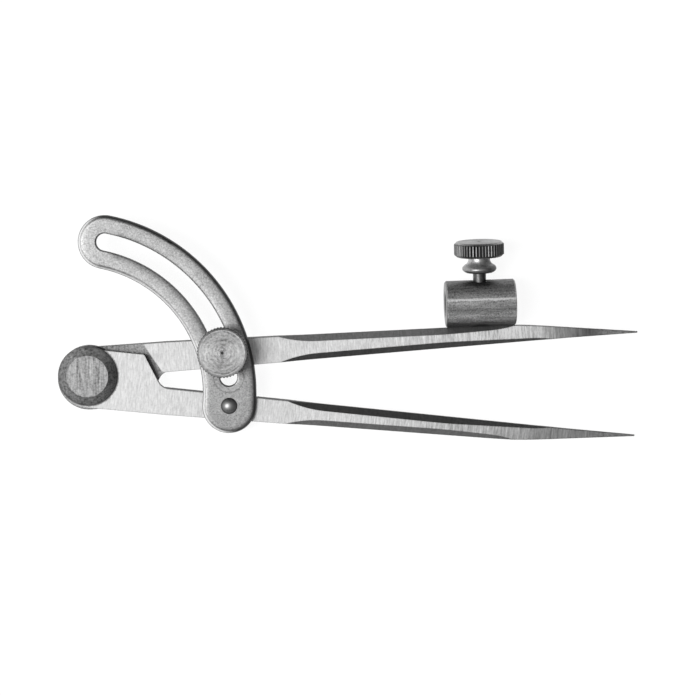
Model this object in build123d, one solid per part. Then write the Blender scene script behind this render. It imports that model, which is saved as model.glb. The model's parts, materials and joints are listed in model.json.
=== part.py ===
from build123d import *
from collections import namedtuple
from math import asin, atan2, cos, degrees, radians, sin, sqrt, tan
import os

# Wing compass of the 200 mm class, lying on its back as it comes to rest. All sizes in millimetres.
# Pieces are made in the compass plane: origin on the pivot axis at mid thickness, X towards the
# points, Y towards the upper leg, Z towards the front. At the end the whole is laid down.

# Legs, each in a frame of its own whose X axis is the line where the closed legs meet
LEG_LENGTH = 190.2
LEG_THICKNESS = 6.0
LAP_CLEARANCE = 0.06
PIVOT_OFFSET = 1.35
UPPER_ANGLE = 4.7
LOWER_ANGLE = 6.03
PLATE_WIDTH = 10.6
SHOULDER_X = 28.0
SHOULDER_BLEND = 90.0
POINT_LENGTH = 42.0
SHANK_BLEND = 190.0
INNER_GAP = 0.35
TIP_WIDTH = 0.5
TIP_THICKNESS = 0.7
INNER_POINT_LENGTH = 24.2

# What differs on the hand-ground legs: widths from that line to the outer edge, start of the bevels
LegForm = namedtuple("LegForm", "head shoulder shank_end bevel_start")
UPPER_FORM = LegForm(head=10.9, shoulder=10.6, shank_end=6.46, bevel_start=79.3)
LOWER_FORM = LegForm(head=9.6, shoulder=9.37, shank_end=6.11, bevel_start=82.2)

# Half-lap head
KNEE_X = 18.4
KNEE_ROUND = 0.8
DIAGONAL_ANGLE = 57.0
CROTCH_ROUND = 4.4
STEP_CLEARANCE = 0.45
STEP_ANGLE = 60.6

# Side profile and ground bevels of the legs
TAPER_LENGTH = 24.0
TAPER_BLEND = 260.0
TAPER_DROP = 2.0
BEVEL_WIDTH = 2.15
OUTER_BEVEL_END = 50.7
INNER_BEVEL_END = 37.2
WHEEL_RADIUS = 58.0

# Pivot
PIN_RADIUS = 4.0
PIN_FIT = 0.05
PIN_HEAD_RADIUS = 5.6
PIN_FLARE_HEIGHT = 1.7
CONE_BASE_RADIUS = 10.25
CONE_TOP_RADIUS = 7.1
CONE_HEIGHT = 2.5
SLIDE_CLEARANCE = 0.05

# Wing and its rivet
RIVET_X = 49.23
RIVET_INSET = 3.8
WING_RADIUS = 52.82
WING_WIDTH = 18.4
WING_THICKNESS = 2.2
WING_EDGE_ROUND = 1.4
SLOT_EDGE_ROUND = 0.5
WING_BACK_ROUND = 0.35
WING_RUN = 76.8
WING_FOOT_RUN = 0.3
SLOT_WIDTH = 5.85
SLOT_START_RUN = 9.8
RIVET_RADIUS = 1.75
RIVET_FIT = 0.05
RIVET_HEAD_RADIUS = 2.8
RIVET_HEAD_HEIGHT = 1.5
RIVET_TAIL_RADIUS = 2.7
RIVET_TAIL_DEPTH = 1.2

# Thumb screws
THREAD_RADIUS = 2.5
THREAD_FIT = 0.05
SCREW_HEAD_RADIUS = 8.6
SCREW_HEAD_HEIGHT = 5.1
SCREW_HEAD_ROUND = 0.85
SCREW_NECK_RADIUS = 3.65
SCREW_NECK_HEIGHT = 2.9
COLLAR_RADIUS = 5.9
COLLAR_LAND_RADIUS = 4.7
COLLAR_HEIGHT = 2.6
COLLAR_WIDEST_HEIGHT = 1.2
COLLAR_TOP_RADIUS = 5.1
NECK_FLARE = Vector(-1.0, 0.3)
CENTRE_MARK_RADIUS = 0.45
THREAD_CHAMFER = 0.6
KNURL_COUNT = 48
KNURL_DEPTH = 0.34
KNURL_LAND = 0.22
LOCK_X = 47.1
LOCK_INSET = 6.25
LOCK_NECK_RELIEF = 0.65
LOCK_NECK_RUN = 0.9
LOCK_OVERHANG = 2.0
CLAMP_NECK_RELIEF = 0.25
CLAMP_NECK_RUN = 0.5

# Pencil barrel
BARREL_RADIUS = 8.05
BARREL_LENGTH = 24.1
BARREL_FROM_TIP = 53.9
BARREL_TOE = 0.85
BARREL_SEAT_DEPTH = 0.15
BARREL_SINK_RADIUS = 3.3
BARREL_CHAMFER = 0.5
PENCIL_RADIUS = 4.25
CLAMP_TILT = 5.3
CLAMP_STANDOFF = 2.75
CLAMP_TIP_BACK = 0.15

# The back of the compass touches the surface in three places
RESTS_ON = ("back_cone", "lower_leg", "pencil_barrel")
EDGE_STEPS = 120
REST_ROUNDS = 20

HALF = LEG_THICKNESS / 2
BIG = 2 * LEG_LENGTH
SHANK_END_X = LEG_LENGTH - POINT_LENGTH


def shank_slope(form):
    # Angle by which the outer edge of a leg closes in on the line where the legs meet
    return -degrees(atan2(form.shoulder - form.shank_end, SHANK_END_X - SHOULDER_X))


def outer_edge_point(form, x):
    share = (x - SHOULDER_X) / (SHANK_END_X - SHOULDER_X)
    return Vector(x, form.shoulder + share * (form.shank_end - form.shoulder))


def round_corner(sketch, point, radius):
    corner = sketch.vertices().sort_by_distance(point)[0]
    return fillet(corner, radius)


def leg_outline(form):
    # Plan of one leg with its half-lap plate, round the head
    knee = Vector(KNEE_X, -PLATE_WIDTH)
    crotch_x = KNEE_X + (PLATE_WIDTH + INNER_GAP) / tan(radians(DIAGONAL_ANGLE))
    crotch = Vector(crotch_x, INNER_GAP)
    shoulder = outer_edge_point(form, SHOULDER_X)
    shank_end = outer_edge_point(form, SHANK_END_X)
    head_top = Vector(0, form.head)
    head_bottom = Vector(0, -PLATE_WIDTH)
    head_end = Vector(-(form.head + PLATE_WIDTH) / 2, (form.head - PLATE_WIDTH) / 2)
    edge = Polyline(
        head_top, shoulder, shank_end, (LEG_LENGTH, TIP_WIDTH), (LEG_LENGTH, 0),
        (LEG_LENGTH - INNER_POINT_LENGTH, INNER_GAP), crotch, knee, head_bottom,
    )
    head = ThreePointArc(head_bottom, head_end, head_top)
    sketch = make_face([*edge.edges(), head])
    for point, radius in (
        (shoulder, SHOULDER_BLEND), (shank_end, SHANK_BLEND), (crotch, CROTCH_ROUND), (knee, KNEE_ROUND),
    ):
        sketch = round_corner(sketch, point, radius)
    return sketch


def leg_side_profile():
    # Thickness of a leg along its length, seen from the side
    shoulder = Vector(SHANK_END_X, HALF - TAPER_DROP / 2)
    start = Vector(SHANK_END_X - TAPER_LENGTH, HALF)
    tip = Vector(LEG_LENGTH, TIP_THICKNESS / 2)
    front = [Vector(-2 * PLATE_WIDTH, HALF), start, shoulder, tip]
    back = [Vector(point.X, -point.Y) for point in reversed(front)]
    sketch = make_face(Polyline(*front, *back, close=True))
    for point in (start, Vector(start.X, -start.Y)):
        sketch = round_corner(sketch, point, TAPER_BLEND)
    for point in (shoulder, Vector(shoulder.X, -shoulder.Y)):
        sketch = round_corner(sketch, point, SHANK_BLEND)
    return sketch


def wheel_pass(corner, slope, side, face, reach):
    # Sweep of a grinding wheel along one long corner: a flat at 45 degrees that runs out in a curve
    depth = BEVEL_WIDTH / sqrt(2)
    along = Vector(1, 0, 0).rotate(Axis.Z, slope)
    across = Vector(0, side, 0).rotate(Axis.Z, slope)
    outward = (across + Vector(0, 0, face)).normalized()
    middle = corner + outward * (WHEEL_RADIUS - depth)
    plane = Plane(origin=middle, x_dir=along, z_dir=along.cross(outward))
    track = SlotCenterToCenter(reach, 2 * WHEEL_RADIUS)
    return extrude(plane * track, 2 * BEVEL_WIDTH, both=True)


def grind_bevels(body, form):
    for side, slope, end in ((1, shank_slope(form), OUTER_BEVEL_END), (-1, 0, INNER_BEVEL_END)):
        reach = LEG_LENGTH - end - form.bevel_start
        middle = outer_edge_point(form, form.bevel_start + reach / 2)
        height = middle.Y if side > 0 else INNER_GAP
        for face in (1, -1):
            body -= wheel_pass(Vector(middle.X, height, face * HALF), slope, side, face, reach)
    return body


def lap_waste(lap_side):
    # What is cut away so that the two heads lie half in half, up to the slanting step
    far = 2 * PLATE_WIDTH
    base_x = KNEE_X + (PLATE_WIDTH - INNER_GAP) / tan(radians(DIAGONAL_ANGLE)) + STEP_CLEARANCE
    top = Vector(base_x - (far - INNER_GAP) / tan(radians(STEP_ANGLE)), far)
    corner = Vector(base_x, INNER_GAP)
    plan = make_face(Polyline(
        top, corner, (SHOULDER_X + far, INNER_GAP), (SHOULDER_X + far, -far), (-far, -far), (-far, top.Y),
        close=True,
    ))
    start = Plane.XY.offset(lap_side * LAP_CLEARANCE / 2)
    return extrude(start * plan, -lap_side * LEG_THICKNESS)


def leg(form, pivot_offset, lap_side):
    # One leg with the pivot at its origin; lap_side 1 keeps the front half of the head
    body = extrude(leg_outline(form), HALF, both=True)
    body &= extrude(Plane.XZ * leg_side_profile(), 2 * PLATE_WIDTH, both=True)
    body = grind_bevels(body, form)
    body -= lap_waste(lap_side)
    hole = Cylinder(PIN_RADIUS + PIN_FIT, BIG)
    body -= Pos(0, pivot_offset, 0) * hole
    return Pos(0, -pivot_offset, 0) * body


def barrel_plane():
    # Middle of the pencil barrel in the compass plane: X along it, Y away from the leg
    slope = shank_slope(UPPER_FORM)
    touch = outer_edge_point(UPPER_FORM, LEG_LENGTH - BARREL_FROM_TIP)
    away = Vector(0, 1, 0).rotate(Axis.Z, slope)
    centre = touch + away * (BARREL_RADIUS - BARREL_SEAT_DEPTH) - Vector(0, PIVOT_OFFSET)
    along = Vector(1, 0, 0).rotate(Axis.Z, slope + UPPER_ANGLE - BARREL_TOE)
    return Plane(origin=centre.rotate(Axis.Z, UPPER_ANGLE), x_dir=along, z_dir=(0, 0, 1))


def rivet_place():
    return Vector(RIVET_X, -RIVET_INSET - PIVOT_OFFSET).rotate(Axis.Z, -LOWER_ANGLE)


def lock_place():
    return Vector(LOCK_X, LOCK_INSET - PIVOT_OFFSET).rotate(Axis.Z, UPPER_ANGLE)


def wing_centre():
    # The wing's middle line passes through the rivet and the lock screw
    half_chord = (lock_place() - rivet_place()) / 2
    inward = half_chord.normalized().rotate(Axis.Z, 90)
    return rivet_place() + half_chord + inward * sqrt(WING_RADIUS ** 2 - half_chord.length ** 2)


def wing_point(run):
    # Point of the wing's middle line, that far along it from the rivet
    start = rivet_place() - wing_centre()
    return wing_centre() + start.rotate(Axis.Z, degrees(run / WING_RADIUS))


def upper_leg():
    body = Rot(0, 0, UPPER_ANGLE) * leg(UPPER_FORM, PIVOT_OFFSET, -1)
    tapped = Cylinder(THREAD_RADIUS + THREAD_FIT, BIG)
    body -= Pos(*lock_place()) * tapped
    barrel = barrel_plane() * Rot(0, 90, 0) * Cylinder(BARREL_RADIUS, BARREL_LENGTH)
    return body - barrel


def lower_leg():
    body = mirror(leg(LOWER_FORM, -PIVOT_OFFSET, 1), about=Plane.XZ)
    body = Rot(0, 0, -LOWER_ANGLE) * body
    return body - wing_rivet()


def pivot_pin():
    # Rivet through both heads, its ends hammered out into the cones and ground flush
    top = HALF + SLIDE_CLEARANCE + CONE_HEIGHT
    flare = top - PIN_FLARE_HEIGHT
    profile = Polyline(
        (0, -top), (PIN_HEAD_RADIUS, -top), (PIN_RADIUS, -flare), (PIN_RADIUS, flare),
        (PIN_HEAD_RADIUS, top), (0, top), close=True,
    )
    return revolve(Plane.XZ * make_face(profile), Axis.Z)


def front_cone():
    base = HALF + SLIDE_CLEARANCE
    profile = Polyline(
        (0, base), (CONE_BASE_RADIUS, base), (CONE_TOP_RADIUS, base + CONE_HEIGHT),
        (0, base + CONE_HEIGHT), close=True,
    )
    return revolve(Plane.XZ * make_face(profile), Axis.Z) - pivot_pin()


def back_cone():
    return mirror(front_cone(), about=Plane.XY)


def arc_slot(start, end, width):
    path = ThreePointArc(wing_point(start), wing_point((start + end) / 2), wing_point(end))
    return SlotArc(path, width)


def wing():
    # Flat strip bent to an arc in its own plane, slotted for the lock screw
    plan = arc_slot(-WING_FOOT_RUN, WING_RUN, WING_WIDTH) - arc_slot(SLOT_START_RUN, WING_RUN, SLOT_WIDTH)
    base = HALF + SLIDE_CLEARANCE
    body = extrude(Plane.XY.offset(base) * plan, WING_THICKNESS)
    body = fillet(body.faces().sort_by(Axis.Z)[-1].inner_wires().edges(), SLOT_EDGE_ROUND)
    body = fillet(body.faces().sort_by(Axis.Z)[-1].outer_wire().edges(), WING_EDGE_ROUND)
    body = fillet(body.edges().group_by(Axis.Z)[0], WING_BACK_ROUND)
    return body - Pos(*rivet_place()) * Cylinder(RIVET_RADIUS + RIVET_FIT, BIG)


def wing_rivet():
    # Domed head in front of the wing, tail hammered flush into the back of the lower leg
    seat = HALF + 2 * SLIDE_CLEARANCE + WING_THICKNESS
    sphere = (RIVET_HEAD_RADIUS ** 2 + RIVET_HEAD_HEIGHT ** 2) / (2 * RIVET_HEAD_HEIGHT)
    crown = seat + RIVET_HEAD_HEIGHT
    halfway = asin(RIVET_HEAD_RADIUS / sphere) / 2
    shoulder = (sphere * sin(halfway), crown - sphere * (1 - cos(halfway)))
    dome = ThreePointArc((RIVET_HEAD_RADIUS, seat), shoulder, (0, crown))
    foot = Polyline(
        (0, crown), (0, -HALF), (RIVET_TAIL_RADIUS, -HALF), (RIVET_RADIUS, RIVET_TAIL_DEPTH - HALF),
        (RIVET_RADIUS, seat), (RIVET_HEAD_RADIUS, seat),
    )
    shape = revolve(Plane.XZ * make_face([dome, *foot.edges()]), Axis.Z)
    return Pos(*rivet_place()) * shape


def thumb_screw_profile(thread_length, neck_relief, neck_length):
    # Half section of a thumb screw that stands on its collar, thread downwards
    neck_radius = THREAD_RADIUS - neck_relief
    land = COLLAR_LAND_RADIUS
    head_foot = COLLAR_HEIGHT + SCREW_NECK_HEIGHT
    top = head_foot + SCREW_HEAD_HEIGHT
    rounding = SCREW_HEAD_ROUND
    stem = Polyline(
        (0, -thread_length), (THREAD_RADIUS - THREAD_CHAMFER, -thread_length),
        (THREAD_RADIUS, THREAD_CHAMFER - thread_length), (THREAD_RADIUS, -neck_length),
        (neck_radius, -neck_length), (neck_radius, 0), (land, 0),
    )
    collar_top = (COLLAR_TOP_RADIUS, COLLAR_HEIGHT)
    collar = Spline((land, 0), (COLLAR_RADIUS, COLLAR_WIDEST_HEIGHT), collar_top)
    flare = Spline(collar_top, (SCREW_NECK_RADIUS, head_foot), tangents=(NECK_FLARE, (0, 1)))
    head = Polyline(
        (SCREW_NECK_RADIUS, head_foot), (SCREW_HEAD_RADIUS - rounding, head_foot),
        (SCREW_HEAD_RADIUS, head_foot + rounding), (SCREW_HEAD_RADIUS, top - rounding),
        (SCREW_HEAD_RADIUS - rounding, top), (CENTRE_MARK_RADIUS, top), (0, top - CENTRE_MARK_RADIUS),
        (0, -thread_length),
    )
    return make_face([*stem.edges(), collar, flare, *head.edges()])


def knurl_cutter():
    # One V groove of the straight knurl, as tall as the head
    mouth = SCREW_HEAD_RADIUS * radians(360 / KNURL_COUNT) - KNURL_LAND
    rim = SCREW_HEAD_RADIUS + KNURL_DEPTH
    groove = Polyline((SCREW_HEAD_RADIUS - KNURL_DEPTH, 0), (rim, mouth), (rim, -mouth), close=True)
    foot = COLLAR_HEIGHT + SCREW_NECK_HEIGHT
    return extrude(Plane.XY.offset(foot) * make_face(groove), SCREW_HEAD_HEIGHT)


def thumb_screw(thread_length, neck_relief, neck_length):
    profile = thumb_screw_profile(thread_length, neck_relief, neck_length)
    body = revolve(Plane.XZ * profile, Axis.Z)
    cutter = knurl_cutter()
    return body - [Rot(0, 0, index * 360 / KNURL_COUNT) * cutter for index in range(KNURL_COUNT)]


def lock_screw():
    seat = HALF + 2 * SLIDE_CLEARANCE + WING_THICKNESS
    screw = thumb_screw(seat + HALF + LOCK_OVERHANG, LOCK_NECK_RELIEF, seat - HALF + LOCK_NECK_RUN)
    return Pos(lock_place() + Vector(0, 0, seat)) * screw


def clamp_axis_plane():
    # Plane whose Z axis is the clamp screw's axis, on the barrel's axis
    middle = barrel_plane()
    lifted = middle.y_dir.rotate(Axis(middle.origin, middle.x_dir), CLAMP_TILT)
    return Plane(origin=middle.origin, x_dir=middle.x_dir, z_dir=lifted)


def pencil_barrel():
    plain = Cylinder(BARREL_RADIUS, BARREL_LENGTH) - Cylinder(PENCIL_RADIUS, BARREL_LENGTH)
    body = chamfer(plain.edges().filter_by(GeomType.CIRCLE), BARREL_CHAMFER)
    body = barrel_plane() * Rot(0, 90, 0) * body
    tapped = Pos(0, 0, BARREL_LENGTH / 2) * Cylinder(THREAD_RADIUS + THREAD_FIT, BARREL_LENGTH)
    sink = Pos(0, 0, BARREL_RADIUS) * Cone(0, 2 * BARREL_SINK_RADIUS, 2 * BARREL_SINK_RADIUS)
    return body - clamp_axis_plane() * (tapped + sink)


def clamp_screw():
    seat = BARREL_RADIUS + CLAMP_STANDOFF
    reach = seat - PENCIL_RADIUS - CLAMP_TIP_BACK
    screw = thumb_screw(reach, CLAMP_NECK_RELIEF, CLAMP_STANDOFF + CLAMP_NECK_RUN)
    return clamp_axis_plane() * Pos(0, 0, seat) * screw


def edge_points(piece):
    return [edge @ (step / EDGE_STEPS) for edge in piece.edges() for step in range(EDGE_STEPS)]


def resting_plane(pieces):
    # Plane of the surface under the three places that the compass lies on
    feet = [edge_points(pieces[name]) for name in RESTS_ON]
    up = Vector(0, 0, 1)
    for _ in range(REST_ROUNDS):
        first, second, third = (min(points, key=lambda point: point.dot(up)) for points in feet)
        up = (second - first).cross(third - first).normalized()
    return Plane(origin=first, x_dir=Vector(1, 0, 0) - up * up.X, z_dir=up)


def rest_location(pieces):
    # Lays the compass down and puts the origin at the middle of its footprint
    down = resting_plane(pieces).location.inverse()
    box = Compound(children=[down * piece for piece in pieces.values()]).bounding_box()
    centre = box.center()
    return Pos(-centre.X, -centre.Y, -box.min.Z) * down


PIECES = {
    "upper_leg": upper_leg,
    "lower_leg": lower_leg,
    "pivot_pin": pivot_pin,
    "front_cone": front_cone,
    "back_cone": back_cone,
    "wing": wing,
    "wing_rivet": wing_rivet,
    "lock_screw": lock_screw,
    "pencil_barrel": pencil_barrel,
    "clamp_screw": clamp_screw,
}


def build():
    # The pieces lying at rest, by name, and the move that laid them down
    pieces = {name: make() for name, make in PIECES.items()}
    rest = rest_location(pieces)
    return {name: rest * piece for name, piece in pieces.items()}, rest


def main():
    os.makedirs("parts", exist_ok=True)
    pieces, _ = build()
    for name, piece in pieces.items():
        export_step(piece, f"parts/{name}.step")


if __name__ == "__main__":
    main()
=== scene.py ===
import json
import math

import bpy
from mathutils import Euler, Matrix, Vector

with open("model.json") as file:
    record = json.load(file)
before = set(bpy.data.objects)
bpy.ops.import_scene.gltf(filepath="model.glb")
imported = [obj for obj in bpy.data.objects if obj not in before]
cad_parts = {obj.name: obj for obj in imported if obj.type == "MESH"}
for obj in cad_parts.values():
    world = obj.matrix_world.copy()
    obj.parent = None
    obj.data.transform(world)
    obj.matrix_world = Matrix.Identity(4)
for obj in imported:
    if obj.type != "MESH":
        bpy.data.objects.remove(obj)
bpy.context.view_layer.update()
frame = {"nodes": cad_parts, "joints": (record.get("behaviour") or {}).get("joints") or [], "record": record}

MM = 0.001

# Camera: its turn in degrees from the compass plane, and where the pivot lies from it in millimetres
CAMERA_TURN = (4.33, 1.47, 0.15)
PIVOT_FROM_CAMERA = (-89.16, -9.51, -689.5)
PICTURE_PX = 695
FOCAL_PX = 2000
SENSOR_MM = 36.0
CLIP_START_M = 0.01

# Surroundings: brightness at the horizon, overhead and beyond the pivot's side, and over which stretch the
# last two set in as a direction turns towards them, where 1 is straight at them
HORIZON = 0.12
ZENITH = 0.28
ZENITH_REACH = (0.25, 0.95)
SIDE_GLOW = 0.6
SIDE_GLOW_REACH = (0.35, 0.95)

# Floor: its size in metres, its paint, its glow where it is seen, and how much of what lies below it shows
FLOOR_SIZE = 30.0
FLOOR_GREY = 0.9
FLOOR_ROUGHNESS = 0.9
FLOOR_GLOW = 0.55
FLOOR_CLEARNESS = 0.8

# Lamp: its place along the compass's axes, its size and its power
KEY_PLACE_M = (-0.76, 0.0, 1.44)
KEY_SIZE_M = (0.5, 0.8)
KEY_WATTS = 14.5

# Forms of the compass that the finishes follow, in millimetres, where a run is a length along the wing's
# middle line from its rivet
LEG_THICKNESS = 6.0
WING_RADIUS = 52.82
WING_WIDTH = 18.4
WING_FOOT_RUN = 0.3
WING_RUN = 76.8
SLOT_WIDTH = 5.85
SLOT_START_RUN = 9.8
SLOT_END_INSET = 9.2
CONE_TOP_RADIUS = 7.1
CONE_BASE_RADIUS = 10.25
SCREW_HEAD_RADIUS = 8.6
SCREW_HEAD_HEIGHT = 5.1
KNURL_COUNT = 48
BARREL_LENGTH = 24.1

pieces = frame["nodes"]
joints = {joint["name"]: joint for joint in frame["joints"]}
mounts = {mount["name"]: mount for mount in frame["record"]["mounts"]}


def axes_matrix(origin, x_axis, z_axis):
    """A frame with its Z along z_axis and its X as near x_axis as can be."""
    z = Vector(z_axis).normalized()
    x = (Vector(x_axis) - z * z.dot(Vector(x_axis))).normalized()
    y = z.cross(x)
    rotation = Matrix((x, y, z)).transposed().to_4x4()
    return Matrix.Translation(Vector(origin)) @ rotation


def farthest_point(piece, origin):
    """The point of a piece that lies farthest from an origin."""
    points = (vertex.co.copy() for vertex in pieces[piece].data.vertices)
    return max(points, key=lambda point: (point - origin).length)


def joint_place(joint, x_axis):
    """A frame at a joint, with its Z along the joint's axis."""
    return axes_matrix(joints[joint]["pos_m"], x_axis, joints[joint]["axis"])


def top_of(piece, place):
    """Height of a piece's highest point in a frame, in millimetres."""
    inverse = place.inverted()
    return max((inverse @ vertex.co).z for vertex in pieces[piece].data.vertices) / MM


PIVOT = Vector(joints["leg_hinge"]["pos_m"])
NORMAL = -Vector(joints["leg_hinge"]["axis"])
ALONG = Vector((NORMAL.z, 0, -NORMAL.x)).normalized()
COMPASS = axes_matrix(PIVOT, ALONG, NORMAL)
UPPER = axes_matrix(PIVOT, farthest_point("upper_leg", PIVOT) - PIVOT, NORMAL)
LOWER = axes_matrix(PIVOT, farthest_point("lower_leg", PIVOT) - PIVOT, NORMAL)
RIVET = axes_matrix(joints["wing_hinge"]["pos_m"], ALONG, NORMAL)
LOCK = joint_place("lock_screw_turn", ALONG)
BARREL = axes_matrix(mounts["pencil_bore"]["pos_m"], NORMAL, mounts["pencil_bore"]["axis"])
CLAMP = joint_place("clamp_screw_turn", mounts["pencil_bore"]["axis"])


def grey_of(tone):
    """Linear brightness of a screen tone from 0 to 255."""
    share = tone / 255
    return ((share + 0.055) / 1.055) ** 2.4 if share > 0.04045 else share / 12.92


class Graph:
    """A node tree, with a short method for each kind of node."""

    def __init__(self, node_tree):
        self.nodes = node_tree.nodes
        self.links = node_tree.links

    def put(self, socket, value):
        if isinstance(value, bpy.types.NodeSocket):
            self.links.new(value, socket)
        else:
            socket.default_value = value

    def math(self, operation, *values):
        node = self.nodes.new("ShaderNodeMath")
        node.operation = operation
        for socket, value in zip(node.inputs, values):
            self.put(socket, value)
        return node.outputs[0]

    def times(self, first, second):
        return self.math("MULTIPLY", first, second)

    def less(self, first, second):
        return self.math("SUBTRACT", first, second)

    def most(self, first, second):
        return self.math("MAXIMUM", first, second)

    def ramp(self, value, low, high, to_low=0.0, to_high=1.0):
        """A smooth step from to_low, where a value is at low, to to_high, where it is at high."""
        node = self.nodes.new("ShaderNodeMapRange")
        node.interpolation_type = "SMOOTHSTEP"
        for name, number in (("From Min", low), ("From Max", high), ("To Min", to_low), ("To Max", to_high)):
            self.put(node.inputs[name], number)
        self.put(node.inputs["Value"], value)
        return node.outputs["Result"]

    def mix(self, share, first, second):
        """The first value where a share is 0, and the second where it is 1."""
        node = self.nodes.new("ShaderNodeMix")
        for name, value in (("Factor", share), ("A", first), ("B", second)):
            self.put(node.inputs[name], value)
        return node.outputs["Result"]

    def dot(self, first, second):
        node = self.nodes.new("ShaderNodeVectorMath")
        node.operation = "DOT_PRODUCT"
        self.put(node.inputs[0], first)
        self.put(node.inputs[1], second)
        return node.outputs["Value"]

    def parts(self, vector):
        node = self.nodes.new("ShaderNodeSeparateXYZ")
        self.put(node.inputs[0], vector)
        return node.outputs


class Steel(Graph):
    """A steel finish, in the coordinates of one piece's own frame in millimetres."""

    def __init__(self, name, place):
        self.material = bpy.data.materials.new(name)
        self.material.use_nodes = True
        super().__init__(self.material.node_tree)
        coordinates = self.nodes.new("ShaderNodeTexCoord").outputs
        turn = place.to_3x3().transposed()
        angles = turn.to_euler("XYZ")
        shift = -(turn @ place.translation) / MM
        self.point = self.mapped(coordinates["Object"], (1 / MM,) * 3, shift, angles)
        self.x, self.y, self.z = self.parts(self.point)
        self.normal = coordinates["Normal"]
        normal = self.mapped(self.normal, (1, 1, 1), (0, 0, 0), angles)
        _, self.normal_y, self.normal_z = self.parts(normal)
        self.levelness = self.math("ABSOLUTE", self.normal_z)

    def mapped(self, vector, scale, shift=(0, 0, 0), turn=(0, 0, 0)):
        node = self.nodes.new("ShaderNodeMapping")
        for name, value in (("Vector", vector), ("Location", shift), ("Rotation", turn), ("Scale", scale)):
            self.put(node.inputs[name], value)
        return node.outputs["Vector"]

    def joined(self, x, y=0.0, z=0.0):
        node = self.nodes.new("ShaderNodeCombineXYZ")
        for socket, value in zip(node.inputs, (x, y, z)):
            self.put(socket, value)
        return node.outputs[0]

    def towards(self, direction):
        """How far a surface faces a direction: 1 straight at it, -1 straight away."""
        return self.dot(self.normal, direction)

    def angle(self):
        """Angle of a point round Z, in radians from X."""
        return self.math("ARCTAN2", self.y, self.x)

    def from_axis(self, centre=Vector((0, 0))):
        """Distance of a point from the line through centre along Z."""
        x = self.math("POWER", self.less(self.x, centre.x), 2)
        y = self.math("POWER", self.less(self.y, centre.y), 2)
        return self.math("SQRT", self.math("ADD", x, y))

    def edge(self, width_mm, on_edge=0.86, on_face=0.99):
        """1 on the edges of a piece and 0 on its faces, from how far its rounded and true normals agree."""
        rounded = self.nodes.new("ShaderNodeBevel")
        rounded.inputs["Radius"].default_value = width_mm * MM
        true = self.nodes.new("ShaderNodeNewGeometry")
        agreement = self.dot(rounded.outputs["Normal"], true.outputs["Normal"])
        return self.ramp(agreement, on_edge, on_face, 1.0, 0.0)

    def noise(self, vector, grains, detail=2.0, roughness=0.55):
        """Noise from about -0.5 to 0.5, with that many grains a unit of the vector each way."""
        node = self.nodes.new("ShaderNodeTexNoise")
        self.put(node.inputs["Vector"], self.mapped(vector, grains))
        self.put(node.inputs["Scale"], 1.0)
        self.put(node.inputs["Detail"], detail)
        self.put(node.inputs["Roughness"], roughness)
        return self.less(node.outputs["Fac"], 0.5)

    def grit(self, grains, detail=2.0, roughness=0.55):
        """Noise with the same grains a millimetre every way."""
        return self.noise(self.point, (grains, grains, grains), detail, roughness)

    def bands(self, value, grains, detail=2.0, roughness=0.55):
        """Noise in bands along one value."""
        return self.noise(self.joined(value), (grains, 1.0, 1.0), detail, roughness)

    def moved(self, value, *moves):
        """A value with (noise, amount) pairs added."""
        for noise, amount in moves:
            value = self.math("MULTIPLY_ADD", noise, amount, value)
        return value

    def varied(self, value, *swings):
        """A value made a little lighter and darker by (noise, amount) pairs."""
        return self.times(value, self.moved(1.0, *swings))

    def tones(self, value, stops):
        """Brightness along a value, through (value, screen tone) stops."""
        low, high = stops[0][0], stops[-1][0]
        node = self.nodes.new("ShaderNodeValToRGB")
        self.put(node.inputs[0], self.math("DIVIDE", self.less(value, low), high - low))
        elements = node.color_ramp.elements
        for at, _ in stops[1:-1]:
            elements.new((at - low) / (high - low))
        for element, (_, tone) in zip(elements, stops):
            element.color = (grey_of(tone), grey_of(tone), grey_of(tone), 1)
        return node.outputs["Color"]

    def finished(self, brightness, roughness, relief_mm, metallic=1.0):
        """The material, once its surface is set."""
        colour = self.nodes.new("ShaderNodeCombineColor")
        for socket in colour.inputs:
            self.put(socket, brightness)
        bump = self.nodes.new("ShaderNodeBump")
        bump.inputs["Distance"].default_value = MM
        self.put(bump.inputs["Height"], relief_mm)
        surface = self.nodes["Principled BSDF"].inputs
        self.put(surface["Base Color"], colour.outputs[0])
        self.put(surface["Roughness"], roughness)
        self.put(surface["Metallic"], metallic)
        self.put(surface["Normal"], bump.outputs["Normal"])
        return self.material


def dress(piece, material):
    slots = pieces[piece].data.materials
    slots.clear()
    slots.append(material)


# Legs: tones of the flats by distance from the pivot, partly painted light that makes up for the lamp's fall
# along the leg and paints shade on the point; tones of the rest, which paint shade on bevels, sides, edges
# and the floor of the half-lap; and the levelness at which a wall passes into a bevel and a bevel into a flat
UPPER_FLAT_LIGHT_TONES = ((0, 219), (66, 226), (87, 230), (121, 228), (135, 240), (150, 247), (156, 228),
                    (163, 176), (173, 121), (182, 106), (189, 62))
LOWER_FLAT_LIGHT_TONES = ((0, 219), (66, 225), (87, 232), (108, 222), (135, 217), (152, 194), (163, 166),
                    (181, 158), (189, 80))
UPPER_BEVEL_SHADE_TONE = 146
LOWER_BEVEL_SHADE_TONE = 124
INNER_BEVEL_SHADE_TONE = 94
SIDE_SHADE_TONE = 80
RECESS_TONE_WITH_SHADE = 158
LEG_EDGE_SHADE_TONE = 55
LEG_EDGE_WIDTH = 0.55
LEG_ROUGHNESS = 0.62
BEVEL_LEVELNESS = (0.2, 0.5)
FLAT_LEVELNESS = (0.8, 0.97)

# Grinding of the legs: grains a millimetre along and across them, and depth of the scratches
COARSE_GRAINS = (1.7, 0.1, 0.1)
FINE_GRAINS = (2.2, 0.3, 0.3)
CLOUD_GRAINS = (0.11, 0.16, 0.16)
COARSE_DEPTH = 0.012
FINE_DEPTH = 0.01

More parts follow.
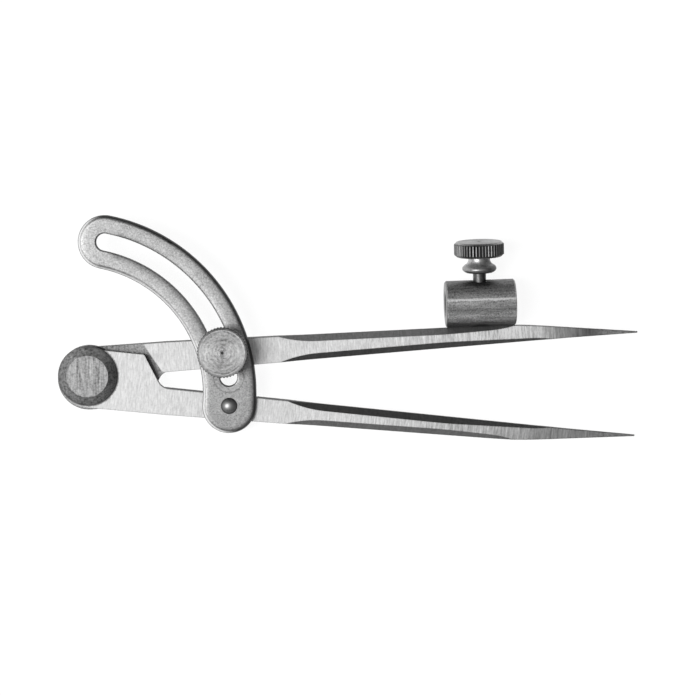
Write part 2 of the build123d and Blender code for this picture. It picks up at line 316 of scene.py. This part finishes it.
# Stretches of a leg over which its grinding turns coarse and its painted edge shade grows, with the share
# before them
COARSE_REACH = (80.0, 150.0)
COARSE_BEFORE = 0.12
EDGE_SHADE_REACH = (105.0, 140.0)
EDGE_SHADE_BEFORE = 0.6

# Where a bevel turns from the inner to the outer side, how near the middle plane a flat is the floor of the
# half-lap, and the ring of painted shade at the foot of the cone
BEVEL_TURN = (-0.4, 0.4)
LAP_REACH = (LEG_THICKNESS / 8, LEG_THICKNESS / 6)
CONE_RING_SHADE_REACH = (CONE_BASE_RADIUS + 0.1, CONE_BASE_RADIUS + 0.6)
CONE_RING_SHADE_LEVEL = 0.35


def ground_leg(name, place, outward, flat_light_tones, bevel_shade_tone):
    """Cross-ground flats, bevels, sides and edges darkened with painted shade, the filed floor of the
    half-lap with painted shade, and a ring of painted shade round the foot of the cone.

    The outer bevel lies on the Y side for an outward of 1, and on the other side for -1.
    """
    leg = Steel(name, place)
    coarse = leg.noise(leg.point, COARSE_GRAINS, roughness=0.6)
    fine = leg.noise(leg.point, FINE_GRAINS, detail=3.0, roughness=0.65)
    cloud = leg.noise(leg.point, CLOUD_GRAINS, detail=3.0)
    specks = leg.grit(1.5, detail=3.0, roughness=0.75)
    near_point = leg.ramp(leg.x, *COARSE_REACH, COARSE_BEFORE, 1.0)
    # Flat tones are partly painted light: they make up for the lamp's fall along the leg and paint shade on
    # the point
    flat = leg.varied(leg.tones(leg.x, flat_light_tones), (cloud, 0.12), (fine, 0.8), (specks, 0.5),
                      (leg.times(fine, near_point), 0.5), (leg.times(coarse, near_point), 1.3))
    side = leg.times(leg.normal_y, outward)
    # Bevels get painted shade, darker on the inner side
    bevel = leg.ramp(side, *BEVEL_TURN, grey_of(INNER_BEVEL_SHADE_TONE), grey_of(bevel_shade_tone))
    bevel = leg.varied(bevel, (fine, 0.8), (specks, 1.0), (cloud, 0.3))
    # Sides get painted shade
    wall = leg.varied(grey_of(SIDE_SHADE_TONE), (specks, 0.8), (fine, 0.4))
    # The half-lap's filed floor, darkened with painted shade
    recess_with_shade = leg.varied(grey_of(RECESS_TONE_WITH_SHADE), (specks, 3.2), (cloud, 1.4))
    in_lap = leg.ramp(leg.math("ABSOLUTE", leg.z), *LAP_REACH, 1.0, 0.0)
    is_flat = leg.ramp(leg.levelness, *FLAT_LEVELNESS)
    shade = leg.mix(leg.ramp(leg.levelness, *BEVEL_LEVELNESS), wall, bevel)
    shade = leg.mix(is_flat, shade, flat)
    shade = leg.mix(leg.times(in_lap, is_flat), shade, recess_with_shade)
    # Painted shade on the edges, fuller towards the point
    edge = leg.times(leg.edge(LEG_EDGE_WIDTH), leg.ramp(leg.x, *EDGE_SHADE_REACH, EDGE_SHADE_BEFORE, 1.0))
    shade = leg.mix(edge, shade, grey_of(LEG_EDGE_SHADE_TONE))
    # Painted shade in a ring round the foot of the cone
    from_pivot = leg.moved(leg.from_axis(), (specks, 1.0))
    cone_ring_shade = leg.ramp(from_pivot, *CONE_RING_SHADE_REACH, CONE_RING_SHADE_LEVEL, 1.0)
    relief = leg.moved(leg.times(coarse, COARSE_DEPTH), (fine, FINE_DEPTH))
    return leg.finished(leg.times(shade, cone_ring_shade), leg.moved(LEG_ROUGHNESS, (specks, 0.12)), relief)


# Cones and the rivet through the head: tones, how much painted light brightens the flank on the upper leg's
# side, where the top ends and the rim of painted shade at the foot begins, and the scratches on the top
CONE_FLANK_TONE = 134
CONE_TOP_TONE = 141
CONE_FOOT_SHADE_TONE = 70
CONE_FOOT_SHADE_SHARE = 0.5
CONE_PAINTED_LIGHT_REACH = (0.15, 0.62)
CONE_PAINTED_LIGHT_GAIN = 1.65
CONE_TOP_END = (CONE_TOP_RADIUS - 0.35, CONE_TOP_RADIUS - 0.05)
CONE_FOOT_SHADE_START = (CONE_BASE_RADIUS - 0.5, CONE_BASE_RADIUS - 0.1)
CONE_ROUGHNESS = 0.48
CONE_DEPTH = 0.03
RUB_GRAINS = (1.9, 0.13, 0.13)


def cone_steel(name):
    """Dark turned flank with painted light towards the upper leg, painted shade at its foot, and an end that
    was ground flush with the rivet.
    """
    cone = Steel(name, COMPASS)
    radius = cone.from_axis()
    rub = cone.noise(cone.point, RUB_GRAINS, detail=4.0, roughness=0.7)
    specks = cone.grit(1.2, detail=4.0, roughness=0.75)
    turned = cone.bands(radius, 1.6, detail=3.0)
    wander = cone.grit(0.45)
    ragged_radius = cone.moved(radius, (specks, 3.0), (wander, 2.0))
    flank = cone.varied(grey_of(CONE_FLANK_TONE), (specks, 4.0), (turned, 0.6))
    # Painted light on the flank's side towards the upper leg
    flank = cone.times(flank, cone.ramp(cone.normal_y, *CONE_PAINTED_LIGHT_REACH, 1.0, CONE_PAINTED_LIGHT_GAIN))
    top = cone.varied(grey_of(CONE_TOP_TONE), (rub, 2.9), (specks, 2.6))
    shade = cone.mix(cone.ramp(ragged_radius, *CONE_TOP_END, 1.0, 0.0), flank, top)
    # Painted shade at the foot of the cone
    rim = cone.ramp(ragged_radius, *CONE_FOOT_SHADE_START, 0.0, CONE_FOOT_SHADE_SHARE)
    shade = cone.mix(rim, shade, grey_of(CONE_FOOT_SHADE_TONE))
    relief = cone.moved(cone.times(specks, CONE_DEPTH), (rub, CONE_DEPTH))
    return cone.finished(shade, cone.moved(CONE_ROUGHNESS, (specks, 0.2)), relief)


# Wing: tones of its face by distance from the rivet towards the upper leg, with a little painted shade
# towards the rivet; tones of its edges, with a painted highlight on the side towards the lamp and painted
# shade on the other, and of its walls, painted shade; and the levelness at which the face passes into an edge
# and an edge into a wall
WING_FACE_LIGHT_TONES = ((-9, 155), (2, 162), (14, 156), (36, 168), (50, 164))
WING_WALL_SHADE_TONE = 80
WING_SHADED_EDGE_TONE = 70
WING_HIGHLIGHT_EDGE_TONE = 250
WING_HIGHLIGHT_SCATTER = 0.8
WING_HIGHLIGHT_SIDE = (-0.98, -0.2, 0.0)
WING_HIGHLIGHT_REACH = (-0.1, 0.4)
WING_EDGE_LEVELNESS = (0.85, 0.999)
WING_WALL_LEVELNESS = (0.42, 0.7)
WING_OUTLINE_REACH = (-1.0, 1.0)
WING_ROUGHNESS = 0.47
WING_DEPTH = 0.03

# Crown of the wing's bands: its slope at the edges, the power by which it sets in, and the share of it that
# is left on the lock screw's seat, which ends in a dark ring
WING_CROWN_SLOPE = 0.36
WING_CROWN_POWER = 3
SEAT_CROWN_SHARE = 0.15
WEAR_RING_RADIUS = 5.15
WEAR_RING_WIDTH = (0.1, 0.45)
WEAR_RING_SHADE = 0.66
SEAT_END = (WEAR_RING_RADIUS - 0.6, WEAR_RING_RADIUS + 2.0)


def wing_centre():
    """Middle of the wing's arc in the rivet's frame, worked out from the rivet and the lock screw."""
    lock = (RIVET.inverted() @ LOCK.translation) / MM
    half = Vector((lock.x, lock.y)) / 2
    inward = Vector((-half.y, half.x)).normalized()
    return half + inward * math.sqrt(WING_RADIUS ** 2 - half.length ** 2)


def from_arc(wing, low_run, high_run):
    """Distance of a point from a stretch of the wing's middle line, in millimetres."""
    centre = wing_centre()
    start = -centre.normalized()
    x = wing.less(wing.x, centre.x)
    y = wing.less(wing.y, centre.y)
    ahead = wing.math("ADD", wing.times(x, start.x), wing.times(y, start.y))
    aside = wing.less(wing.times(y, start.x), wing.times(x, start.y))
    angle = wing.math("ARCTAN2", aside, ahead)
    nearest = wing.math("MINIMUM", wing.most(angle, low_run / WING_RADIUS), high_run / WING_RADIUS)
    apart = wing.math("COSINE", wing.less(nearest, angle))
    radius = wing.from_axis(centre)
    chord = wing.times(wing.times(radius, apart), 2 * WING_RADIUS)
    squares = wing.math("MULTIPLY_ADD", radius, radius, WING_RADIUS ** 2)
    return wing.math("SQRT", wing.most(wing.less(squares, chord), 0.0))


def wing_crown(wing, from_edge, from_slot_start):
    """Relief of bands that fall away to their edges, but not on the seat that the lock screw has worn."""
    half_band = (WING_WIDTH - SLOT_WIDTH) / 4
    short_of_crest = wing.most(wing.less(1.0, wing.math("DIVIDE", from_edge, half_band)), 0.0)
    drop = WING_CROWN_SLOPE * half_band / WING_CROWN_POWER
    fall = wing.times(wing.math("POWER", short_of_crest, WING_CROWN_POWER), -drop)
    return wing.times(fall, wing.ramp(from_slot_start, *SEAT_END, SEAT_CROWN_SHARE, 1.0))


def wing_steel():
    """Satin face with a sandy grain and a little painted shade, crowned bands whose edges carry a painted
    highlight on the lamp's side and painted shade on the other, painted shade on the walls, and a wear ring.
    """
    wing = Steel("wing_steel", RIVET)
    sand = wing.grit(1.5, detail=4.0, roughness=0.8)
    fine = wing.grit(2.2, roughness=0.7)
    cloud = wing.grit(0.12, detail=3.0)
    from_slot_line = from_arc(wing, SLOT_START_RUN, WING_RUN - SLOT_END_INSET + SLOT_WIDTH / 2)
    from_slot_start = from_arc(wing, SLOT_START_RUN, SLOT_START_RUN)
    outside_slot = wing.less(from_slot_line, SLOT_WIDTH / 2)
    inside_outline = wing.less(WING_WIDTH / 2, from_arc(wing, -WING_FOOT_RUN, WING_RUN))
    from_edge = wing.math("MINIMUM", inside_outline, outside_slot)
    # The face's tones add a little painted shade towards the rivet
    face = wing.varied(wing.tones(wing.y, WING_FACE_LIGHT_TONES), (sand, 1.6), (fine, 1.6), (cloud, 0.4))
    off_ring = wing.math("ABSOLUTE", wing.less(from_slot_start, WEAR_RING_RADIUS))
    ring = wing.ramp(wing.moved(off_ring, (sand, 0.6)), *WEAR_RING_WIDTH, WEAR_RING_SHADE, 1.0)
    # The side of the edges towards the lamp gets a painted highlight, the other side painted shade
    on_highlight_side = wing.ramp(wing.towards(RIVET.to_3x3() @ Vector(WING_HIGHLIGHT_SIDE)), *WING_HIGHLIGHT_REACH)
    edge = wing.mix(on_highlight_side, grey_of(WING_SHADED_EDGE_TONE), grey_of(WING_HIGHLIGHT_EDGE_TONE))
    by_outline = wing.ramp(wing.less(outside_slot, inside_outline), *WING_OUTLINE_REACH)
    is_edge = wing.times(wing.ramp(wing.levelness, *WING_EDGE_LEVELNESS, 1.0, 0.0), by_outline)
    is_wall = wing.ramp(wing.levelness, *WING_WALL_LEVELNESS, 1.0, 0.0)
    shade = wing.mix(is_edge, wing.times(face, ring), wing.varied(edge, (sand, 0.8)))
    # Walls get painted shade
    shade = wing.mix(is_wall, shade, grey_of(WING_WALL_SHADE_TONE))
    # Where an edge carries the painted highlight, the steel is made less metallic
    highlight_strip = wing.less(wing.times(is_edge, on_highlight_side), is_wall)
    scatter = wing.most(wing.times(highlight_strip, WING_HIGHLIGHT_SCATTER), 0.0)
    relief = wing.moved(wing_crown(wing, from_edge, from_slot_start), (sand, WING_DEPTH))
    return wing.finished(shade, wing.moved(WING_ROUGHNESS, (sand, 0.2)), relief, wing.less(1.0, scatter))


# Wing's rivet: tones by distance from its middle, a painted highlight at the crown and painted shade towards
# the rim
RIVET_LIGHT_TONES = ((0.0, 185), (0.8, 180), (1.6, 150), (2.3, 125), (2.8, 70))
RIVET_ROUGHNESS = 0.46
RIVET_DEPTH = 0.03


def rivet_steel():
    """Peened dome, bright with a painted highlight at its crown and dark with painted shade towards its rim.
    """
    rivet = Steel("rivet_steel", RIVET)
    specks = rivet.grit(1.2, detail=3.0, roughness=0.7)
    # Painted highlight at the crown, painted shade towards the rim
    shade = rivet.tones(rivet.moved(rivet.from_axis(), (specks, 0.8)), RIVET_LIGHT_TONES)
    relief = rivet.times(specks, RIVET_DEPTH)
    return rivet.finished(rivet.varied(shade, (specks, 0.7)), RIVET_ROUGHNESS, relief)


# Thumb screws: tones of stem, collar and neck by height above the underside of the head, tones of the head,
# with painted shade in the knurl's grooves and on its shoulder, the levelness at which its rim passes into
# the shoulder, and where its rim and its top begin
SCREW_BODY_TONES = ((-30, 120), (-5.4, 112), (-5.0, 168), (-3.4, 168), (-2.2, 204), (0, 204))
KNURL_LAND_TONE = 140
KNURL_GROOVE_SHADE_TONE = 34
KNURL_GROOVE_REACH = (-0.6, 0.9)
SHOULDER_SHADE_TONE = 100
SHOULDER_LEVELNESS = (0.3, 0.7)
SCREW_RIM_START = (SCREW_HEAD_RADIUS - 1.2, SCREW_HEAD_RADIUS - 0.5)
SCREW_TOP_START = (SCREW_HEAD_HEIGHT - 0.7, SCREW_HEAD_HEIGHT - 0.4)
SCREW_TOP_FACING = (0.4, 0.75)
LOCK_TOP_TONE = 162
CLAMP_TOP_TONE = 144
SCREW_ROUGHNESS = 0.42

# Faced tops: rings and arcs a millimetre, their depth, and the mark at the centre
RING_GRAINS = 1.5
ARC_GRAINS = 1.6
RING_DEPTH = 0.03
SPECK_DEPTH = 0.02
MARK_REACH = (0.5, 1.3)
MARK_SHADE = 0.5

# Painted shade on the side of a screw that is turned away from the pivot and the lamp
SHADED_SIDE_REACH = (0.1, 0.75)
SHADED_SIDE_LEVELS = (0.95, 0.25)

# Thread: its pitch, its painted shade in the grooves and painted light on the ridges, and its top in each
# screw's frame
THREAD_PITCH = 0.8
THREAD_LIGHT_REACH = (0.05, 0.4)
THREAD_LIGHT_LEVELS = (0.3, 1.3)
THREAD_LEVELNESS = (0.3, 0.6)
THREAD_RUN_OUT = 0.3
LOCK_THREAD_TOP = 2.1
CLAMP_THREAD_TOP = 7.6


def faced_top(screw, tone, radius, angle, specks):
    """Brightness and relief of a top with lathe rings, broken arcs, a painted highlight on two opposite sides
    and a mark at its centre.
    """
    ring = screw.moved(radius, (screw.grit(0.3), 0.8))
    rings = screw.bands(ring, RING_GRAINS, detail=4.0, roughness=0.75)
    polar = screw.joined(screw.times(ring, ARC_GRAINS), angle)
    arcs = screw.noise(polar, (1.0, 1.0, 1.0), detail=4.0, roughness=0.7)
    # Painted highlight, brighter on two opposite sides of the top
    painted_sheen = screw.math("COSINE", screw.times(angle, 2.0))
    shade = screw.varied(grey_of(tone), (rings, 1.5), (arcs, 1.9), (painted_sheen, 0.2), (specks, 1.9))
    mark = screw.ramp(screw.moved(radius, (specks, 1.5)), *MARK_REACH, MARK_SHADE, 1.0)
    return screw.times(shade, mark), screw.moved(screw.times(specks, SPECK_DEPTH), (rings, RING_DEPTH))


def knurled_rim(screw, angle, specks):
    """Brightness of a rim with painted shade in its grooves, lighter lands and painted shade on a rounded
    shoulder.
    """
    # Painted shade in the knurl's grooves and on its shoulder
    is_groove = screw.ramp(screw.math("COSINE", screw.times(angle, KNURL_COUNT)), *KNURL_GROOVE_REACH)
    shade = screw.mix(is_groove, grey_of(KNURL_LAND_TONE), grey_of(KNURL_GROOVE_SHADE_TONE))
    shade = screw.mix(screw.ramp(screw.levelness, *SHOULDER_LEVELNESS), shade, grey_of(SHOULDER_SHADE_TONE))
    return screw.varied(shade, (specks, 1.2))


def thread_ridges(screw, thread_top, angle):
    """Height of a thread's ridges, from 0 to 0.5, and where the thread is."""
    turns = screw.math("MULTIPLY_ADD", screw.z, 1 / THREAD_PITCH, screw.times(angle, 1 / math.tau))
    ridge = screw.math("PINGPONG", turns, 0.5)
    below_top = screw.ramp(screw.z, thread_top - THREAD_RUN_OUT, thread_top, 1.0, 0.0)
    on_side = screw.ramp(screw.levelness, *THREAD_LEVELNESS, 1.0, 0.0)
    return ridge, screw.times(below_top, on_side)


def screw_steel(piece, place, thread_top, top_tone):
    """Faced top, knurled rim, turned neck and collar, painted shade on the far side, and a thread up to
    thread_top with painted shade in its grooves and painted light on its ridges.
    """
    screw = Steel(f"{piece}_steel", place)
    above_foot = screw.less(screw.z, top_of(piece, place) - SCREW_HEAD_HEIGHT)
    radius = screw.from_axis()
    angle = screw.angle()
    specks = screw.grit(1.3, detail=3.0, roughness=0.75)
    turned = screw.bands(screw.z, 2.0, roughness=0.6)
    body = screw.varied(screw.tones(above_foot, SCREW_BODY_TONES), (turned, 0.8), (specks, 1.6))
    shade = screw.mix(screw.ramp(radius, *SCREW_RIM_START), body, knurled_rim(screw, angle, specks))
    # Painted shade on the side turned away from the pivot and the lamp
    shade = screw.times(shade, screw.ramp(screw.towards(ALONG), *SHADED_SIDE_REACH, *SHADED_SIDE_LEVELS))
    faces_up = screw.ramp(screw.normal_z, *SCREW_TOP_FACING)
    is_top = screw.times(faces_up, screw.ramp(above_foot, *SCREW_TOP_START))
    faced, faced_relief = faced_top(screw, top_tone, radius, angle, specks)
    shade = screw.mix(is_top, shade, faced)
    ridge, is_thread = thread_ridges(screw, thread_top, angle)
    # Painted shade in the thread's grooves and painted light on its ridges
    grooves = screw.mix(is_thread, 1.0, screw.ramp(ridge, *THREAD_LIGHT_REACH, *THREAD_LIGHT_LEVELS))
    shade = screw.times(shade, grooves)
    relief = screw.moved(screw.times(faced_relief, is_top), (screw.times(ridge, is_thread), THREAD_PITCH))
    return screw.finished(shade, SCREW_ROUGHNESS, relief)


# Pencil barrel: tones by angle round it, in degrees from the side that faces the viewer, which paint its
# light and shade in bands, the painted highlight line along it, the painted shade round the screw's stem, and
# where its ends begin
BARREL_LIGHT_TONES = ((-95, 100), (-75, 112), (-52, 128), (-29, 172), (-13, 180), (0, 158), (8, 164), (14, 155),
                (20, 195), (29, 230), (38, 165), (53, 92), (77, 108), (95, 110))
BARREL_END_TONE = 150
BARREL_END_START = (BARREL_LENGTH / 2 - 0.5, BARREL_LENGTH / 2 - 0.1)
BARREL_ROUGHNESS = 0.45
BARREL_DEPTH = 0.02
DRAWN_GRAINS = (0.2, 1.0, 0.12)
HIGHLIGHT_LINE_ANGLE = -12.0
HIGHLIGHT_LINE_WIDTH = (1.4, 3.8)
HIGHLIGHT_LINE_GAPS = (-0.22, -0.02)
HIGHLIGHT_LINE_TONE = 250
HIGHLIGHT_LINE_SHARE = 0.85
STEM_SHADE_REACH = (2.4, 5.0)
STEM_SHADE_LEVEL = 0.25


def barrel_steel():
    """Dark drawn tube with bands of painted light and shade, a painted highlight line along it, and painted
    shade round the stem.
    """
    tube = Steel("barrel_steel", BARREL)
    around = tube.times(tube.angle(), 180 / math.pi)
    specks = tube.grit(1.9, detail=3.0, roughness=0.75)
    drawn = tube.noise(tube.joined(around, 0.0, tube.z), DRAWN_GRAINS, detail=3.0, roughness=0.65)
    drift = tube.grit(0.3, detail=3.0, roughness=0.7)
    # Bands of painted light and shade round the tube
    shade = tube.tones(tube.moved(around, (drift, 8.0)), BARREL_LIGHT_TONES)
    shade = tube.varied(shade, (specks, 3.0), (drawn, 1.8))
    # A painted highlight line along the tube
    off_line = tube.math("ABSOLUTE", tube.less(tube.moved(around, (drift, 7.0)), HIGHLIGHT_LINE_ANGLE))
    line = tube.ramp(off_line, *HIGHLIGHT_LINE_WIDTH, HIGHLIGHT_LINE_SHARE, 0.0)
    line = tube.times(line, tube.ramp(specks, *HIGHLIGHT_LINE_GAPS))
    shade = tube.mix(line, shade, grey_of(HIGHLIGHT_LINE_TONE))
    # Painted shade round the screw's stem
    stem = (BARREL.inverted() @ CLAMP.translation) / MM
    beside = tube.math("POWER", tube.less(tube.z, stem.z), 2)
    from_stem = tube.math("SQRT", tube.math("MULTIPLY_ADD", tube.x, tube.x, beside))
    shade = tube.times(shade, tube.ramp(from_stem, *STEM_SHADE_REACH, STEM_SHADE_LEVEL, 1.0))
    is_end = tube.ramp(tube.math("ABSOLUTE", tube.z), *BARREL_END_START)
    shade = tube.mix(is_end, shade, tube.varied(grey_of(BARREL_END_TONE), (specks, 0.9)))
    relief = tube.moved(tube.times(specks, BARREL_DEPTH), (drawn, BARREL_DEPTH))
    return tube.finished(shade, BARREL_ROUGHNESS, relief)


def dress_all():
    dress("upper_leg", ground_leg("ground_upper_leg", UPPER, 1.0, UPPER_FLAT_LIGHT_TONES, UPPER_BEVEL_SHADE_TONE))
    dress("lower_leg", ground_leg("ground_lower_leg", LOWER, -1.0, LOWER_FLAT_LIGHT_TONES, LOWER_BEVEL_SHADE_TONE))
    turned_head = cone_steel("turned_head")
    for piece in ("pivot_pin", "front_cone", "back_cone"):
        dress(piece, turned_head)
    dress("wing", wing_steel())
    dress("wing_rivet", rivet_steel())
    dress("lock_screw", screw_steel("lock_screw", LOCK, LOCK_THREAD_TOP, LOCK_TOP_TONE))
    dress("pencil_barrel", barrel_steel())
    dress("clamp_screw", screw_steel("clamp_screw", CLAMP, CLAMP_THREAD_TOP, CLAMP_TOP_TONE))


def white_floor():
    """A plain white floor, clear enough to show a leg that swings below it, which takes a soft shadow."""
    bpy.ops.mesh.primitive_plane_add(size=FLOOR_SIZE)
    floor = bpy.context.object
    floor.name = "floor"
    material = bpy.data.materials.new("floor_white")
    material.use_nodes = True
    graph = Graph(material.node_tree)
    shader = graph.nodes["Principled BSDF"]
    paint = shader.inputs
    paint["Base Color"].default_value = (FLOOR_GREY, FLOOR_GREY, FLOOR_GREY, 1)
    paint["Roughness"].default_value = FLOOR_ROUGHNESS
    paint["Specular IOR Level"].default_value = 0.0
    paint["Emission Color"].default_value = (1, 1, 1, 1)
    ray = graph.nodes.new("ShaderNodeLightPath").outputs
    seen = graph.most(graph.most(ray["Is Camera Ray"], ray["Is Glossy Ray"]), ray["Is Transmission Ray"])
    graph.put(paint["Emission Strength"], graph.times(seen, FLOOR_GLOW))
    clear = graph.nodes.new("ShaderNodeBsdfTransparent")
    blend = graph.nodes.new("ShaderNodeMixShader")
    graph.put(blend.inputs[0], FLOOR_CLEARNESS)
    graph.put(blend.inputs[1], shader.outputs["BSDF"])
    graph.put(blend.inputs[2], clear.outputs["BSDF"])
    graph.put(graph.nodes["Material Output"].inputs["Surface"], blend.outputs["Shader"])
    floor.data.materials.append(material)


def surroundings():
    """Soft studio light overhead, dim at the horizon, a pale wall beyond the pivot, and white where seen."""
    world = bpy.data.worlds.new("studio")
    bpy.context.scene.world = world
    world.use_nodes = True
    graph = Graph(world.node_tree)
    direction = graph.nodes.new("ShaderNodeTexCoord").outputs["Generated"]
    _, _, height = graph.parts(direction)
    sky = graph.ramp(height, *ZENITH_REACH, HORIZON, ZENITH)
    wall = graph.ramp(graph.dot(direction, -ALONG), *SIDE_GLOW_REACH, 0.0, SIDE_GLOW)
    ray = graph.nodes.new("ShaderNodeLightPath").outputs
    mirrored = graph.most(ray["Is Glossy Ray"], ray["Is Transmission Ray"])
    mirrored_below = graph.times(mirrored, graph.math("LESS_THAN", height, 0.0))
    seen = graph.most(ray["Is Camera Ray"], mirrored_below)
    background = graph.nodes["Background"].inputs
    background["Color"].default_value = (1, 1, 1, 1)
    graph.put(background["Strength"], graph.mix(seen, graph.math("ADD", sky, wall), 1.0))


def key_light():
    """One large softbox on the pivot's side of the compass, about 60 degrees up."""
    light = bpy.data.lights.new("key_light", "AREA")
    light.shape = "RECTANGLE"
    light.size, light.size_y = KEY_SIZE_M
    light.energy = KEY_WATTS
    lamp = bpy.data.objects.new("key_light", light)
    lamp.location = COMPASS.to_3x3() @ Vector(KEY_PLACE_M)
    lamp.rotation_euler = lamp.location.to_track_quat("Z", "Y").to_euler()
    bpy.context.scene.collection.objects.link(lamp)


def camera():
    """A long lens above the compass, turned a little from square to it."""
    turn = Euler([math.radians(angle) for angle in CAMERA_TURN], "XYZ").to_matrix().transposed()
    place = -(turn @ Vector(PIVOT_FROM_CAMERA)) * MM
    lens = bpy.data.cameras.new("camera")
    lens.sensor_width = SENSOR_MM
    lens.lens = SENSOR_MM * FOCAL_PX / PICTURE_PX
    lens.clip_start = CLIP_START_M
    eye = bpy.data.objects.new("camera", lens)
    eye.matrix_world = COMPASS @ Matrix.Translation(place) @ turn.to_4x4()
    bpy.context.scene.collection.objects.link(eye)
    bpy.context.scene.camera = eye


dress_all()
white_floor()
surroundings()
key_light()
camera()
bpy.context.scene.view_settings.view_transform = "Standard"
